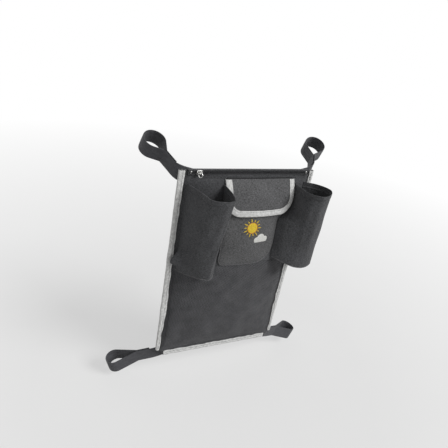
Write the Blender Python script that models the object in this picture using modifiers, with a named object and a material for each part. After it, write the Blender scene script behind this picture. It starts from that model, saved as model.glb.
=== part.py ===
"""Stroller organizer: a flat cloth bag that hangs by four looped straps.

Frame: X across the bag, -Y towards the user, +Z up. The origin lies on the rear face of the back
panel, at the middle of its bottom edge. All sizes are in metres.
"""

import math

import bmesh
import bpy
from mathutils import Vector

# Back panel
PANEL_TOP_HALF = 0.1468
PANEL_TAPER = 0.0018
PANEL_BOTTOM_HALF = PANEL_TOP_HALF - PANEL_TAPER
PANEL_HEIGHT = 0.4395
PANEL_THICKNESS = 0.0020
CORNER_CHAMFER = 0.0150

# Cloth and gaps
CLOTH = 0.0012
GAP = 0.0003
EDGE_INSET = 0.0008

# Main compartment: how far the front stands out, and the mesh below it
BULGE = 0.036
SEAM_FLAT = 0.0020
BULGE_TOP = PANEL_HEIGHT - 0.0165
BULGE_EASE = 0.02
HEM_DEPTH = 0.0072
MESH_TOP = 0.2440

# Silver binding, folded over the edges
BINDING_WIDTH = 0.0140
BINDING_THICKNESS = 0.0010
BINDING_START = max(CORNER_CHAMFER, BINDING_WIDTH + 0.0010) + 0.0015

# Zip along the top
ZIP_CENTRE_Z = PANEL_HEIGHT - 0.0030
ZIP_HALF_LENGTH = PANEL_TOP_HALF - BINDING_WIDTH - 0.0018
TAPE_THICKNESS = 0.0006
TAPE_REAR_Y = -0.0060
TAPE_WIDTH = 0.0050
COIL_GAP = 0.0013
COIL_WIDTH = 0.0020
COIL_HEIGHT = 0.0011
SLIDER_REST_X = 0.0210 - ZIP_HALF_LENGTH
SLIDER_LENGTH = 0.0110
SLIDER_HALF_WIDTH = 0.0044
SLIDER_PLATE = 0.0011
SLIDER_REAR_HALF = 0.0029
STOP_LENGTH = 0.0030
BAIL_HEIGHT = 0.0036
BAIL_WIRE = 0.0012
BAIL_REACH = 0.0048
PULL_WIRE = 0.0014
PULL_WIDTH = 0.0100
PULL_LENGTH = 0.0104
PULL_NECK = 0.0021
PULL_TURN = math.radians(55)
PULL_TILT = math.radians(14)

# Hook-and-loop tape
TOUCH_TAPE = 0.0007
FLAP_TAPE_HALF = 0.0300
FLAP_TAPE_HEIGHT = 0.0160
FLAP_TAPE_DROP = 0.0095

# Where the bottle pockets are sewn on: the outer seam, and how far inward each inner seam lies
POCKET_SEAM_X = PANEL_BOTTOM_HALF - BINDING_WIDTH - SEAM_FLAT - 0.0005
LEFT_POCKET_ACROSS = 0.0715
RIGHT_POCKET_ACROSS = 0.0545
RIGHT_RIM_ACROSS = 0.0240

# Centre pocket and its flap, between the bottle pockets
CENTRE_ROOM = 0.0030
CENTRE_LEFT = LEFT_POCKET_ACROSS - POCKET_SEAM_X + CENTRE_ROOM + 0.0020
CENTRE_RIGHT = POCKET_SEAM_X - RIGHT_POCKET_ACROSS - 2.5 * CLOTH
CENTRE_X = (CENTRE_RIGHT + CENTRE_LEFT) / 2
CENTRE_HALF = (CENTRE_RIGHT - CENTRE_LEFT) / 2
CENTRE_BOTTOM = 0.2460
CENTRE_RIM = BULGE_TOP - 0.0330
CENTRE_CORNER = 0.0400
CENTRE_BULGE = 0.0070
CENTRE_SEAM = 0.0006
FLAP_ROOM_RIGHT = 0.0061
FLAP_LEFT = LEFT_POCKET_ACROSS - POCKET_SEAM_X + CENTRE_ROOM
FLAP_RIGHT = POCKET_SEAM_X - RIGHT_RIM_ACROSS - FLAP_ROOM_RIGHT
FLAP_X = (FLAP_RIGHT + FLAP_LEFT) / 2
FLAP_HALF = (FLAP_RIGHT - FLAP_LEFT) / 2
FLAP_TOP = BULGE_TOP + 0.0010
FLAP_BOTTOM = FLAP_TOP - 0.0660
FLAP_CORNER = 0.0310
FLAP_LIFT = 0.0020
FLAP_ROOM = 0.0008
FLAP_BINDING_WIDTH = 0.0130
FLAP_FOLD = 0.0017

# Bottle pockets: outlines of the base and the rim, seen from above, from the outer seam round the
# front to the inner seam. Each point is (inward from the outer seam, forward of the rear face), and
# the first and the last one are laid on the front cloth.
POCKET_SEAM_GAP = 0.0011
POCKET_RIM = BULGE_TOP - 0.0085
BASE_THICKNESS = 0.0012
BASE_INSET = 0.0009
POCKETS = {
    "left": {
        "side": -1,
        "bottom": 0.2300,
        "inner_rise": 0.0,
        "slant": (FLAP_BOTTOM - 0.0580, FLAP_BOTTOM + 0.0020),
        "base": (
            (0.0000, 0.0000), (0.0015, 0.0130), (0.0085, 0.0240), (0.0175, 0.0335),
            (0.0275, 0.0420), (0.0385, 0.0495), (0.0505, 0.0530), (0.0600, 0.0500),
            (0.0660, 0.0450), (0.0695, 0.0405), (LEFT_POCKET_ACROSS, 0.0000),
        ),
        "rim": (
            (0.0000, 0.0000), (0.0060, 0.0270), (0.0120, 0.0500), (0.0160, 0.0720),
            (0.0265, 0.0850), (0.0415, 0.0900), (0.0575, 0.0850), (0.0675, 0.0730),
            (0.0700, 0.0580), (0.0700, 0.0420), (LEFT_POCKET_ACROSS - 0.0015, 0.0000),
        ),
    },
    "right": {
        "side": 1,
        "bottom": 0.2390,
        "inner_rise": 0.0160,
        "slant": (FLAP_BOTTOM - 0.0260, FLAP_BOTTOM + 0.0110),
        "base": (
            (0.0000, 0.0000), (-0.0165, 0.0095), (-0.0325, 0.0140), (-0.0445, 0.0240),
            (-0.0465, 0.0380), (-0.0355, 0.0510), (-0.0145, 0.0600), (0.0095, 0.0590),
            (0.0285, 0.0510), (0.0435, 0.0410), (RIGHT_POCKET_ACROSS, 0.0000),
        ),
        "rim": (
            (0.0000, 0.0000), (-0.0115, 0.0120), (-0.0225, 0.0190), (-0.0350, 0.0365),
            (-0.0340, 0.0560), (-0.0225, 0.0710), (-0.0040, 0.0770), (0.0145, 0.0710),
            (RIGHT_RIM_ACROSS, 0.0560), (RIGHT_RIM_ACROSS, 0.0400), (RIGHT_RIM_ACROSS, 0.0000),
        ),
    },
}

# Webbing straps, each looped round a tube and closed on itself
STRAP_WIDTH = 0.0300
STRAP_THICKNESS = 0.0014
STRAP_TAB = 0.0380
STRAP_CLOSED = 0.0300
STRAP_LIFT = 0.0038
STRAP_BEND = 0.0100
STRAPS = {
    "upper": {
        "corner": (PANEL_TOP_HALF + 0.0037, PANEL_HEIGHT - 0.0070),
        "tube": (PANEL_TOP_HALF + 0.0342, 0.0600, PANEL_HEIGHT + 0.0245),
        "axis": (0.0, -0.25, 0.968),
        "tube_radius": 0.0200,
        "tab": (-0.97, 0.0, -0.24),
    },
    "lower": {
        "corner": (PANEL_BOTTOM_HALF - 0.0015, 0.0010),
        "tube": (PANEL_BOTTOM_HALF + 0.0790, 0.0300, -0.0260),
        "axis": (0.0, -0.10, 0.995),
        "tube_radius": 0.0165,
        "tab": (-0.84, 0.0, 0.54),
    },
}

CHARCOAL = (0.085, 0.085, 0.090)
COLOURS = {
    "cloth": (CHARCOAL, 0.85, 0.0),
    "net": ((0.040, 0.040, 0.044), 0.80, 0.0),
    "silver": ((0.46, 0.46, 0.46), 0.45, 0.2),
    "webbing": ((0.050, 0.050, 0.055), 0.80, 0.0),
    "touch_tape": ((0.020, 0.020, 0.022), 0.95, 0.0),
    "zip_tape": ((0.045, 0.045, 0.048), 0.85, 0.0),
    "zip_coil": ((0.030, 0.030, 0.032), 0.50, 0.0),
    "nickel": ((0.62, 0.62, 0.60), 0.28, 1.0),
}


def clear_scene():
    for obj in list(bpy.data.objects):
        bpy.data.objects.remove(obj, do_unlink=True)


def new_collection(name):
    collection = bpy.data.collections.new(name)
    bpy.context.scene.collection.children.link(collection)
    return collection


def finish_material(kind, name):
    colour, roughness, metallic = COLOURS[kind]
    material = bpy.data.materials.new(name + "_" + kind)
    material.use_nodes = True
    shader = material.node_tree.nodes["Principled BSDF"]
    shader.inputs["Base Color"].default_value = (*colour, 1.0)
    shader.inputs["Roughness"].default_value = roughness
    shader.inputs["Metallic"].default_value = metallic
    material.diffuse_color = (*colour, 1.0)
    return material


def add_object(name, mesh, kind, collection, smooth=True):
    obj = bpy.data.objects.new(name, mesh)
    collection.objects.link(obj)
    mesh.materials.append(finish_material(kind, name))
    if smooth:
        mesh.shade_smooth()
        mesh.set_sharp_from_angle(angle=math.radians(40))
    return obj


def smooth_step(value):
    value = min(max(value, 0.0), 1.0)
    return value * value * (3 - 2 * value)


def mix(a, b, share):
    return a + (b - a) * share


def sheet(name, kind, surface, across, along, thickness, offset):
    """An open grid bent to surface(u, v), with u and v from 0 to 1, then given its thickness.

    The outer side is u x v. An offset of -1 keeps the surface as the outer face."""
    bm = bmesh.new()
    bmesh.ops.create_grid(bm, x_segments=across, y_segments=along, size=0.5)
    for vertex in bm.verts:
        vertex.co = Vector(surface(vertex.co.x + 0.5, vertex.co.y + 0.5))
    mesh = bpy.data.meshes.new(name)
    bm.to_mesh(mesh)
    bm.free()
    obj = add_object(name, mesh, kind, PARTS)
    solidify = obj.modifiers.new("thickness", "SOLIDIFY")
    solidify.thickness = thickness
    solidify.offset = offset
    return obj


def box_mesh(bm, low, high):
    """Adds an axis-aligned box between two corners."""
    made = bmesh.ops.create_cube(bm, size=1.0)["verts"]
    for vertex in made:
        for axis in range(3):
            vertex.co[axis] = mix(low[axis], high[axis], vertex.co[axis] + 0.5)
    return made


def box(name, kind, low, high, collection=None):
    bm = bmesh.new()
    box_mesh(bm, low, high)
    mesh = bpy.data.meshes.new(name)
    bm.to_mesh(mesh)
    bm.free()
    return add_object(name, mesh, kind, collection or PARTS, smooth=False)


def as_cutter(obj):
    obj.hide_render = True
    obj.display_type = "WIRE"


def join(obj, other):
    boolean = obj.modifiers.new("join", "BOOLEAN")
    boolean.operation = "UNION"
    boolean.object = other
    as_cutter(other)


def panel_half(z):
    """Half width of the panel at a height, with the cut-off lower corners."""
    half = mix(PANEL_BOTTOM_HALF, PANEL_TOP_HALF, z / PANEL_HEIGHT)
    return half - max(CORNER_CHAMFER - z, 0.0)


def rounded_half(z, bottom, half, corner):
    """Half width at a height of an outline whose lower corners are round."""
    below = corner - (z - bottom)
    if below <= 0:
        return half
    return half - corner + math.sqrt(max(corner * corner - below * below, 0.0))


def front_depth(x, z):
    """Distance from the rear face to the outer face of the front cloth and the mesh."""
    flat = PANEL_THICKNESS + GAP + CLOTH
    reach = min(abs(x) / (panel_half(max(z, CORNER_CHAMFER)) - BINDING_WIDTH - SEAM_FLAT), 1.0)
    start = BINDING_WIDTH + SEAM_FLAT
    height = min(max((z - start) / (BULGE_TOP - start), 0.0), 1.0)
    round_x = (1 - reach * reach) ** 0.70
    round_z = (4 * height * (1 - height) + BULGE_EASE) ** 0.55 - BULGE_EASE ** 0.55
    hem = (HEM_DEPTH - flat) * smooth_step((z - BULGE_TOP) / 0.060 + 1)
    return flat + round_x * (BULGE * round_z + hem)


def pocket_swell(x, z):
    """How far the centre pocket stands off the front cloth."""
    half = rounded_half(z, CENTRE_BOTTOM, CENTRE_HALF, CENTRE_CORNER)
    reach = min(abs(x - CENTRE_X) / half, 1.0)
    rise = smooth_step((z - CENTRE_BOTTOM) / 0.045)
    return CENTRE_BULGE * (1 - reach * reach) ** 0.6 * rise


def flap_inner_depth(x, z):
    """Distance from the rear face to the flap's inner face, which clears the pocket below it."""
    reach = min(abs(x - FLAP_X) / (FLAP_HALF * 1.12), 1.0)
    arch = (1 - reach**4) ** 0.5
    ramp = smooth_step((FLAP_TOP - z) / 0.035)
    over_pocket = CENTRE_SEAM + CENTRE_BULGE + CLOTH + 2 * TOUCH_TAPE + 3 * GAP + FLAP_ROOM
    return front_depth(x, z) + FLAP_LIFT + (over_pocket - FLAP_LIFT) * arch * ramp


def build_panels():
    rows = [0.0, CORNER_CHAMFER, PANEL_HEIGHT]

    def back(u, v):
        z = rows[round(v * 2)]
        return ((2 * u - 1) * panel_half(z), 0.0, z)

    sheet("back_panel", "cloth", back, 2, 2, PANEL_THICKNESS, 1)

    across, up = 18, 12

    def column(u, z):
        """A flat strip under each side binding, and the rest closer together towards the sides."""
        index = round(u * across)
        half = panel_half(z)
        if index in (0, across):
            return math.copysign(half - EDGE_INSET, index - 1)
        share = (index - 1) / (across - 2)
        return math.sin((share - 0.5) * math.pi) * (half - BINDING_WIDTH - SEAM_FLAT)

    def front(u, v):
        """Rows lie closer together towards the hem, which is flat above the last bulging row."""
        z = mix(MESH_TOP + GAP, BULGE_TOP, math.sin(min(v * 13 / 12, 1.0) * math.pi / 2))
        if v > 0.99:
            z = ZIP_CENTRE_Z - COIL_GAP / 2 - TAPE_WIDTH - GAP
        x = column(u, z)
        return (x, -front_depth(x, z), z)

    sheet("front_panel", "cloth", front, across, 13, CLOTH, -1)

    def mesh_net(u, v):
        row = round(v * up)
        start = BINDING_WIDTH + SEAM_FLAT
        z = mix(start, MESH_TOP, 1 - math.cos((row - 2) / (up - 2) * math.pi / 2))
        z = (EDGE_INSET, CORNER_CHAMFER)[row] if row < 2 else z
        x = column(u, z)
        return (x, -front_depth(x, z), z)

    sheet("mesh_panel", "net", mesh_net, across, up, CLOTH, -1)


def fold_profile(width, front_y, rear_y, thickness):
    """(inward, y) points of a tape folded over an edge, from its rear end to its front end."""
    stand_off = GAP * 1.5 + thickness / 2
    corner = stand_off * 0.8
    return [
        (width, rear_y + stand_off),
        (0.0, rear_y + stand_off),
        (-stand_off, rear_y + stand_off - corner),
        (-stand_off, front_y - stand_off + corner),
        (0.0, front_y - stand_off),
        (width, front_y - stand_off),
    ]


def build_bindings():
    stack = -(PANEL_THICKNESS + GAP + CLOTH)
    profile = fold_profile(BINDING_WIDTH, stack, 0.0, BINDING_THICKNESS)
    last = len(profile) - 1

    for name, side in (("left_binding", -1), ("right_binding", 1)):

        def side_fold(u, v, side=side):
            inward, y = profile[round(u * last) if side < 0 else last - round(u * last)]
            z = mix(BINDING_START, PANEL_HEIGHT - 0.0005, v)
            return (side * (panel_half(z) - inward), y, z)

        sheet(name, "silver", side_fold, last, 6, BINDING_THICKNESS, 0)

    reach = PANEL_BOTTOM_HALF - BINDING_START

    def bottom_fold(u, v):
        inward, y = profile[round(v * last)]
        return (mix(-reach, reach, u), y, inward)

    sheet("bottom_binding", "silver", bottom_fold, 6, last, BINDING_THICKNESS, 0)


def build_zip():
    front_y = TAPE_REAR_Y - TAPE_THICKNESS
    box(
        "top_facing",
        "cloth",
        (-ZIP_HALF_LENGTH, TAPE_REAR_Y + GAP, PANEL_HEIGHT + GAP),
        (ZIP_HALF_LENGTH, 0.0, PANEL_HEIGHT + GAP + CLOTH),
    )
    for name, side in (("upper", 1), ("lower", -1)):
        inner = ZIP_CENTRE_Z + side * COIL_GAP / 2
        outer = PANEL_HEIGHT if side > 0 else inner - TAPE_WIDTH
        low, high = sorted((inner, outer))
        box(
            "zip_tape_" + name,
            "zip_tape",
            (-ZIP_HALF_LENGTH, front_y, low),
            (ZIP_HALF_LENGTH, TAPE_REAR_Y, high),
        )
        low, high = sorted((inner, inner + side * COIL_WIDTH))
        end = ZIP_HALF_LENGTH - STOP_LENGTH - 0.0040
        box(
            "zip_coil_" + name,
            "zip_coil",
            (-end, front_y - GAP - COIL_HEIGHT, low),
            (end, front_y - GAP, high),
        )
    for name, side in (("zip_stop_left", -1), ("zip_stop_right", 1)):
        near = side * (ZIP_HALF_LENGTH - STOP_LENGTH - 0.0035)
        far = near + side * STOP_LENGTH
        reach = COIL_GAP / 2 + COIL_WIDTH
        box(
            name,
            "nickel",
            (min(near, far), front_y - GAP - 0.0016, ZIP_CENTRE_Z - reach),
            (max(near, far), front_y - GAP, ZIP_CENTRE_Z + reach),
        )


def build_slider():
    """Two plates joined by a post that runs between the coils, with side lips and a bail on top."""
    tape_front = TAPE_REAR_Y - TAPE_THICKNESS
    coil_front = tape_front - GAP - COIL_HEIGHT
    front_low = coil_front - GAP
    front_high = front_low - SLIDER_PLATE
    rear_low = TAPE_REAR_Y + GAP
    rear_high = rear_low + SLIDER_PLATE
    middle = SLIDER_REST_X
    half = SLIDER_LENGTH / 2
    wide = SLIDER_HALF_WIDTH
    rear_wide = SLIDER_REAR_HALF

    slider = box(
        "zip_slider",
        "nickel",
        (middle - half, front_high, ZIP_CENTRE_Z - wide),
        (middle + half, front_low, ZIP_CENTRE_Z + wide),
    )
    pieces = [
        ((middle - half, rear_low, -rear_wide), (middle + half - 0.001, rear_high, rear_wide)),
        ((middle - half + 0.001, front_low - 0.0004, -0.00035), (middle - 0.001, rear_low + 0.0004, 0.00035)),
    ]
    lip_low = COIL_GAP / 2 + COIL_WIDTH + GAP
    for side in (-1, 1):
        low, high = sorted((side * lip_low, side * wide))
        pieces.append(
            (
                (middle - half + 0.0004, front_low - 0.0004, low + 0.0001 * (side < 0)),
                (middle + half - 0.0004, tape_front - GAP, high - 0.0001 * (side > 0)),
            )
        )
    bail_top = front_high - BAIL_HEIGHT
    bail = BAIL_WIRE / 2
    reach = BAIL_REACH
    pieces.append(((middle - reach, bail_top - BAIL_WIRE, -bail), (middle + reach, bail_top, bail)))
    for side in (-1, 1):
        foot = middle + side * (reach - bail)
        pieces.append(((foot - bail, bail_top - bail, -bail), (foot + bail, front_high + 0.0004, bail)))
    for number, (low, high) in enumerate(pieces):
        low = (low[0], min(low[1], high[1]), ZIP_CENTRE_Z + low[2])
        high = (high[0], max(pieces[number][0][1], high[1]), ZIP_CENTRE_Z + high[2])
        join(slider, box("slider_piece_%d" % number, "nickel", low, high, HELPERS))
    return bail_top


def build_pull(bail_top):
    """A wire loop that hangs round the bail and leans on the slider, turned half towards the user."""
    down = Vector((0.0, -math.sin(PULL_TILT), -math.cos(PULL_TILT)))
    spread = Vector((math.cos(PULL_TURN), -math.sin(PULL_TURN), 0.0))
    spread = (spread - down * spread.dot(down)).normalized()
    wire = PULL_WIRE / 2
    bar = Vector((SLIDER_REST_X, bail_top - BAIL_WIRE / 2, ZIP_CENTRE_Z))
    top = -(BAIL_WIRE / 2 + wire + GAP)
    neck = PULL_NECK
    wide = PULL_WIDTH / 2 - wire
    round_start = PULL_LENGTH + top - 2 * wire - wide
    outline = [(-neck * 0.8, top), (neck * 0.8, top), (neck, top + 0.0008), (wide, round_start * 0.6)]
    for step in range(9):
        angle = math.pi * step / 8
        outline.append((wide * math.cos(angle), round_start + wide * math.sin(angle)))
    outline += [(-wide, round_start * 0.6), (-neck, top + 0.0008)]
    curve = bpy.data.curves.new("zip_pull", "CURVE")
    curve.dimensions = "3D"
    curve.bevel_depth = wire
    curve.bevel_resolution = 2
    spline = curve.splines.new("POLY")
    spline.points.add(len(outline) - 1)
    for point, (across, low) in zip(spline.points, outline):
        point.co = (*(bar + spread * across + down * low), 1.0)
    spline.use_cyclic_u = True
    pull = bpy.data.objects.new("zip_pull", curve)
    PARTS.objects.link(pull)
    curve.materials.append(finish_material("nickel", "zip_pull"))


def build_centre_pocket():
    def pocket(u, v):
        z = mix(CENTRE_BOTTOM, CENTRE_RIM, 1 - math.cos(v * math.pi / 2))
        half = rounded_half(z, CENTRE_BOTTOM, CENTRE_HALF, CENTRE_CORNER)
        x = CENTRE_X + math.sin((2 * u - 1) * math.pi / 2) * half
        return (x, -(front_depth(x, z) + CENTRE_SEAM + pocket_swell(x, z)), z)

    sheet("centre_pocket", "cloth", pocket, 14, 10, CLOTH, 1)

    def flap(u, v):
        z = mix(FLAP_BOTTOM, FLAP_TOP, (1 - math.cos(v * math.pi)) / 2)
        half = rounded_half(z, FLAP_BOTTOM, FLAP_HALF, FLAP_CORNER)
        x = FLAP_X + math.sin((2 * u - 1) * math.pi / 2) * half
        return (x, -flap_inner_depth(x, z), z)

    sheet("pocket_flap", "cloth", flap, 18, 14, CLOTH, 1)


def flap_outline(share):
    """(x, z, inward x, inward z) along the flap's edge, from its left top to its right top."""
    straight = FLAP_TOP - 0.0005 - FLAP_BOTTOM - FLAP_CORNER
    arc = FLAP_CORNER * math.pi / 2
    level = 2 * (FLAP_HALF - FLAP_CORNER)
    travel = share * (2 * straight + 2 * arc + level)
    mirrored = travel > straight + arc + level / 2
    if mirrored:
        travel = 2 * straight + 2 * arc + level - travel
    if travel < straight:
        x, z, inward = -FLAP_HALF, FLAP_TOP - 0.0005 - travel, (1.0, 0.0)
    elif travel < straight + arc:
        angle = (travel - straight) / FLAP_CORNER
        inward = (math.cos(angle), math.sin(angle))
        x = -FLAP_HALF + FLAP_CORNER * (1 - inward[0])
        z = FLAP_BOTTOM + FLAP_CORNER * (1 - inward[1])
    else:
        x, z, inward = -FLAP_HALF + FLAP_CORNER + travel - straight - arc, FLAP_BOTTOM, (0.0, 1.0)
    side = -1 if mirrored else 1
    return FLAP_X + side * x, z, side * inward[0], inward[1]


def build_flap_binding():
    """Tape folded over the flap's side and bottom edges: its two legs follow the flap's faces."""
    front_leg = [
        (-FLAP_FOLD, 0.45),
        (0.0, 1.0),
        (0.0040, 1.0),
        (FLAP_BINDING_WIDTH * 0.65, 1.0),
        (FLAP_BINDING_WIDTH, 1.0),
    ]
    legs = [(inward, -face) for inward, face in reversed(front_leg)] + front_leg
    last = len(legs) - 1
    thickness = BINDING_THICKNESS * 0.7
    stand_off = CLOTH / 2 + GAP * 2.5 + thickness / 2

    def fold(u, v):
        inward, face = legs[round(u * last)]
        x, z, inward_x, inward_z = flap_outline(v)
        x += inward * inward_x
        z += inward * inward_z
        middle = flap_inner_depth(x, z) + CLOTH * 0.55
        return (x, -(middle + face * stand_off), z)

    sheet("flap_binding", "silver", fold, last, 48, thickness, 0)


def build_touch_tapes():
    """Hook tape inside the flap and loop tape on the pocket, which hold the flap shut."""

    def on_pocket(u, v):
        x = CENTRE_X + (2 * u - 1) * FLAP_TAPE_HALF
        z = CENTRE_RIM - FLAP_TAPE_DROP + (v - 0.5) * FLAP_TAPE_HEIGHT
        depth = front_depth(x, z) + CENTRE_SEAM + pocket_swell(x, z) + CLOTH * 1.1 + GAP
        return (x, -depth, z)

    sheet("pocket_loop_tape", "touch_tape", on_pocket, 6, 3, TOUCH_TAPE, 1)

    def on_flap(u, v):
        x = CENTRE_X + (2 * u - 1) * FLAP_TAPE_HALF
        z = CENTRE_RIM - FLAP_TAPE_DROP + (v - 0.5) * FLAP_TAPE_HEIGHT
        return (x, -(flap_inner_depth(x, z) - GAP), z)

    sheet("flap_hook_tape", "touch_tape", on_flap, 6, 3, TOUCH_TAPE, -1)


def smooth_curve(points, share):
    """A point on the smooth curve through a list of points, with share running evenly from 0 to 1."""
    last = len(points) - 1
    place = min(max(share, 0.0), 1.0) * last
    index = min(int(place), last - 1)
    t = place - index
    before, start, end, after = (points[min(max(index + k, 0), last)] for k in (-1, 0, 1, 2))
    return tuple(
        0.5 * (2 * q + (r - p) * t + (2 * p - 5 * q + 4 * r - s) * t * t + (3 * q - p - 3 * r + s) * t**3)
        for p, q, r, s in zip(before, start, end, after)
    )


def outline_point(pocket, level, z, share):
    """(x, y) on a pocket's base or rim outline, with its ends laid on the front cloth at a height."""
    side = pocket["side"]
    points = [(side * (POCKET_SEAM_X - inward), -forward) for inward, forward in pocket[level]]
    for end in (0, -1):
        x = points[end][0]
        points[end] = (x, -(front_depth(x, z) + POCKET_SEAM_GAP))
    return smooth_curve(points, share)


def pocket_wall(pocket, along, height, inset=0.0):
    """A point on a bottle pocket's wall. along runs from the outer seam, 0, to the inner seam, 1.

    height is 0 at the base and 1 at the rim. The inner seam slants between two heights, which keeps
    it clear of the flap."""
    bottom = pocket["bottom"] + pocket["inner_rise"] * smooth_step((along - 0.6) / 0.4)
    z = mix(bottom, POCKET_RIM, height)
    low, high = pocket["slant"]
    slant = smooth_step((z - low) / (high - low))

    def place(share):
        low_x, low_y = outline_point(pocket, "base", z, share)
        high_x, high_y = outline_point(pocket, "rim", z, share)
        lean = mix(height, slant, smooth_step((share - 0.6) / 0.28))
        x, y = mix(low_x, high_x, lean), mix(low_y, high_y, lean)
        return Vector((x, min(y, -(front_depth(x, z) + POCKET_SEAM_GAP)), z))

    here = place(along)
    if inset:
        ahead = (place(along + 0.01) - place(along - 0.01)).normalized()
        here += Vector((ahead.y, -ahead.x, 0.0)) * inset * pocket["side"]
    return here


def build_bottle_pockets():
    for name, pocket in POCKETS.items():
        left = name == "left"

        def wall(u, v, pocket=pocket, left=left):
            return pocket_wall(pocket, u if left else 1 - u, v)

        sheet(name + "_bottle_pocket", "cloth", wall, 30, 14, CLOTH, 1)

        def base(u, v, pocket=pocket, left=left):
            """Ruled between the foot of the wall and a line on the front cloth behind it."""
            along = u if left else 1 - u
            front = pocket_wall(pocket, mix(0.05, 0.95, along), 0.012, BASE_INSET)
            ends = [outline_point(pocket, "base", front.z, end)[0] for end in (0, 1)]
            x = mix(ends[0], ends[1], mix(0.06, 0.94, along))
            rear = Vector((x, -(front_depth(x, front.z) + BASE_INSET), front.z))
            return rear.lerp(front, 1 - v)

        sheet(name + "_bottle_base", "cloth", base, 24, 3, BASE_THICKNESS, 1)


def strap_route(strap, side):
    """Points and width directions of a strap: sewn tab, run, loop round the tube, and way back."""
    corner_x, corner_z = strap["corner"]
    sewn = Vector((side * corner_x, BINDING_THICKNESS + 2 * GAP + STRAP_THICKNESS / 2, corner_z))
    leave = sewn + Vector((0.0, STRAP_LIFT, 0.0))
    tube_x, tube_y, tube_z = strap["tube"]
    tube = Vector((side * tube_x, tube_y, tube_z))
    tab_x, tab_y, tab_z = strap["tab"]
    tab = Vector((side * tab_x, tab_y, tab_z)).normalized()
    run = (leave - tube).normalized()
    axis = Vector(strap["axis"])
    axis = (axis - run * axis.dot(run)).normalized()
    across = axis.cross(run)
    if across.y > 0:
        across = -across
    radius = strap["tube_radius"] + STRAP_THICKNESS
    shut = leave - run * (STRAP_CLOSED + STRAP_BEND)
    gap = STRAP_THICKNESS + 2 * TOUCH_TAPE + 3 * GAP
    back_shut = shut - across * gap
    flat_width = Vector((-tab.z, 0.0, tab.x))
    if flat_width.dot(axis) < 0:
        flat_width = -flat_width

    def touching(point, sign):
        """The angle from run, towards across, where the line from a point meets the loop."""
        seen = point - tube
        bearing = math.atan2(seen.dot(across), seen.dot(run))
        return bearing + sign * math.acos(radius / seen.length)

    start, stop = touching(shut, 1), touching(back_shut, -1) + 2 * math.pi
    points = []
    for step in range(4):
        points.append((sewn + tab * STRAP_TAB * (1 - step / 4), flat_width))
    points.append((leave - run * STRAP_BEND / 5, (flat_width + axis).normalized()))
    for step in range(5):
        points.append((mix(leave - run * STRAP_BEND, shut, step / 4), axis))
    steps = 20
    for step in range(steps + 1):
        angle = mix(start, stop, step / steps)
        points.append((tube + (run * math.cos(angle) + across * math.sin(angle)) * radius, axis))
    for step in range(4):
        points.append((mix(back_shut, back_shut + run * STRAP_CLOSED, step / 3), axis))
    return points, across, gap


def ribbon(name, kind, points, width, thickness, shift=0.0):
    """A flat band along points that each give a width direction, moved sideways by shift."""
    places = [place for place, _ in points]
    last = len(points) - 1

    def band(u, v):
        index = round(u * last)
        before, after = places[max(index - 1, 0)], places[min(index + 1, last)]
        ahead = (after - before).normalized()
        wide = points[index][1]
        wide = (wide - ahead * wide.dot(ahead)).normalized()
        face = ahead.cross(wide)
        return places[index] + wide * (v - 0.5) * width + face * shift

    return sheet(name, kind, band, last, 1, thickness, 0)


def build_straps():
    for height, strap in STRAPS.items():
        for side_name, side in (("left", -1), ("right", 1)):
            name = height + "_" + side_name
            points, across, gap = strap_route(strap, side)
            ribbon(name + "_strap", "webbing", points, STRAP_WIDTH, STRAP_THICKNESS)
            outer = points[5:10]
            inward = STRAP_THICKNESS / 2 + GAP + TOUCH_TAPE / 2
            hook = [(place - across * inward, wide) for place, wide in outer]
            inward = gap - inward
            loop = [(place - across * inward, wide) for place, wide in outer]
            ribbon(name + "_loop_tape", "touch_tape", hook, STRAP_WIDTH - 0.003, TOUCH_TAPE)
            ribbon(name + "_hook_tape", "touch_tape", loop, STRAP_WIDTH - 0.003, TOUCH_TAPE)


clear_scene()
PARTS = new_collection("stroller_organizer")
HELPERS = new_collection("helpers")
build_panels()
build_bindings()
build_zip()
build_pull(build_slider())
build_centre_pocket()
build_flap_binding()
build_touch_tapes()
build_bottle_pockets()
build_straps()
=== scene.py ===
"""Looks of the hanging organizer bag: woven cloth, net, silver tape, zip, pockets and webbing."""

import math

import bpy
import numpy as np
from mathutils import Matrix, Vector


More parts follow.
